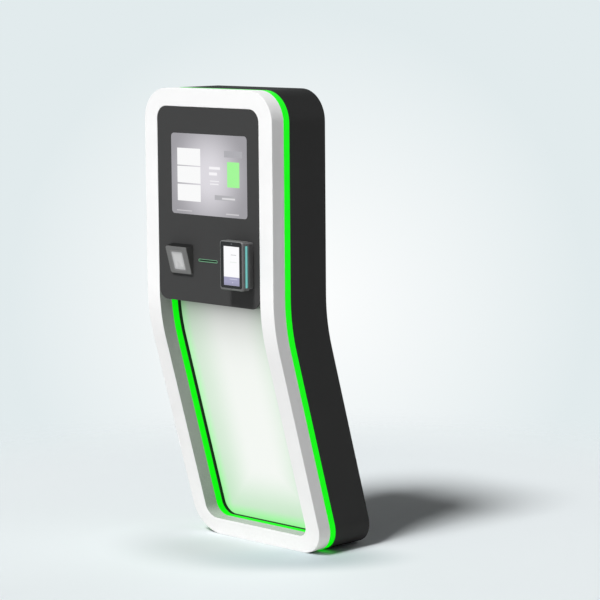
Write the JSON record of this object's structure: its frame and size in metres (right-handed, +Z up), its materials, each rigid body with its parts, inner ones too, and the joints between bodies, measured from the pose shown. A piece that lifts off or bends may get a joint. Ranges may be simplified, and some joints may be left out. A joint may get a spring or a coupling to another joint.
{
  "type": "parking entry terminal",
  "caption": "Free-standing parking entry terminal, bent at mid height, with touch screen, code reader, ticket slot, payment device, green light line and lit recess.",
  "frame": {"origin": "on the floor at the centre of the four floor anchor holes in the base plate", "axes": "+X to the right of a person facing the screen, +Y from the front to the back, +Z up"},
  "size_m": [0.572, 0.4849, 1.45],
  "materials": {
    "white_powder_coat": "satin powder coat",
    "green_light_guide": "glowing translucent green",
    "raw_aluminium": "mill finish",
    "led_tape": "white solder mask",
    "zinc_steel": "zinc plated",
    "ground_steel": "ground",
    "black_powder_coat": "fine texture powder coat",
    "black_coated_steel": "fine texture powder coat",
    "black_plastic_trim": "matt",
    "opal_acrylic": "backlit opal",
    "graphite_powder_coat": "fine texture powder coat",
    "grey_painted_sheet": "satin",
    "screen_glass": "lit screen under glass",
    "display_case": "matt",
    "slot_light_guide": "translucent green",
    "reader_grey": "satin grey",
    "reader_glass": "pale frosted",
    "engine_plastic": "matt",
    "payment_case": "satin metallic grey",
    "black_glass": "gloss black",
    "teal_light_bar": "glowing teal",
    "soft_rubber": "soft",
    "gear_nylon": "natural",
    "motor_steel": "black",
    "ticket_paper": "paper",
    "primed_steel": "primer grey",
    "equipment_aluminium": "satin",
    "lock_chrome": "polished"
  },
  "bodies": {
    "cabinet": {"front_frame": "white_powder_coat", "outer_light_guide": "green_light_guide", "inner_light_guide": "green_light_guide", "led_carrier": "raw_aluminium", "backlight_tray": "raw_aluminium", "cutter_frame": "raw_aluminium", "led_strips": "led_tape", "backlight_board": "led_tape", "frame_fasteners": "zinc_steel", "case_screws": "zinc_steel", "side_brackets": "zinc_steel", "printer_chassis": "zinc_steel", "printer_shelf": "zinc_steel", "hinge_pins": "zinc_steel", "rear_shell": "black_powder_coat", "rear_cover": "black_coated_steel", "spine_posts": "black_coated_steel", "hinge_leaves": "black_coated_steel", "recess_surround": "black_plastic_trim", "ticket_throat": "black_plastic_trim", "scanner_housing": "black_plastic_trim", "circuit_breaker": "black_plastic_trim", "roll_spindle": "black_plastic_trim", "recess_panel": "opal_acrylic", "control_panel": "graphite_powder_coat", "recess_ceiling": "grey_painted_sheet", "touch_screen": "screen_glass", "payment_display": "screen_glass", "display_module": "display_case", "slot_light_guide": "slot_light_guide", "scanner_bezel": "reader_grey", "scanner_window": "reader_glass", "scan_engine": "engine_plastic", "payment_housing": "payment_case", "payment_glass": "black_glass", "payment_camera": "black_glass", "payment_light_bars": "teal_light_bar", "door_gasket": "soft_rubber", "cable_grommet": "soft_rubber", "printer_motor": "motor_steel", "base_plate": "primed_steel", "ballast_plates": "primed_steel", "equipment_plate": "equipment_aluminium", "controller_box": "equipment_aluminium", "power_supply": "equipment_aluminium"},
    "door": {"rear_door": "black_powder_coat", "door_hinge_leaves": "black_coated_steel", "lock_barrel": "lock_chrome", "fan_frame": "black_plastic_trim"},
    "lock": {"lock_cam": "lock_chrome"},
    "fan": {"fan_rotor": "black_plastic_trim"},
    "slot_flap": {"ticket_flap": "black_plastic_trim"},
    "platen": {"platen_shaft": "ground_steel", "platen_roller": "soft_rubber", "platen_gear": "gear_nylon"},
    "pinion": {"motor_pinion": "gear_nylon"},
    "print_head": {"thermal_head": "raw_aluminium"},
    "cutter": {"cutter_blade": "zinc_steel"},
    "roll": {"paper_roll": "ticket_paper"},
    "toggle": {"breaker_toggle": "engine_plastic"}
  },
  "joints": [
    {"name": "door_hinge", "type": "hinge", "parent": "cabinet", "child": "door", "pos_m": [-0.212, -0.12919, 1.1288], "axis": [0, 0, 1], "range_deg": [0, 110]},
    {"name": "lock_turn", "type": "hinge", "parent": "door", "child": "lock", "pos_m": [0.18, -0.13319, 1.125], "axis": [0, 1, 0], "range_deg": [0, 90]},
    {"name": "fan_spin", "type": "hinge", "parent": "door", "child": "fan", "pos_m": [0, -0.14719, 1.32], "axis": [0, 1, 0], "continuous": true},
    {"name": "flap_swing", "type": "hinge", "parent": "cabinet", "child": "slot_flap", "pos_m": [-0.0025, -0.35119, 0.9241], "axis": [-1, 0, 0], "range_deg": [0, 70]},
    {"name": "roll_spin", "type": "hinge", "parent": "cabinet", "child": "roll", "pos_m": [-0.0025, -0.20919, 0.96], "axis": [1, 0, 0], "continuous": true},
    {"name": "platen_spin", "type": "hinge", "parent": "cabinet", "child": "platen", "pos_m": [-0.0025, -0.28319, 0.9135], "axis": [1, 0, 0], "continuous": true},
    {"name": "pinion_spin", "type": "hinge", "parent": "cabinet", "child": "pinion", "pos_m": [0.062, -0.27643, 0.88827], "axis": [1, 0, 0], "continuous": true},
    {"name": "head_open", "type": "hinge", "parent": "cabinet", "child": "print_head", "pos_m": [-0.0025, -0.25919, 0.935], "axis": [-1, 0, 0], "range_deg": [0, 45]},
    {"name": "cutter_stroke", "type": "slide", "parent": "cabinet", "child": "cutter", "axis": [0, 0, -1], "range_m": [0, 0.008], "stiffness_N_per_m": 200, "springref_m": -0.004},
    {"name": "breaker_switch", "type": "hinge", "parent": "cabinet", "child": "toggle", "pos_m": [0.05, -0.18919, 1.112], "axis": [-1, 0, 0], "range_deg": [0, 60]}
  ],
  "couplings": [
    {"joint": "platen_spin", "follows": "roll_spin", "ratio": -5},
    {"joint": "pinion_spin", "follows": "roll_spin", "ratio": 16.667}
  ]
}
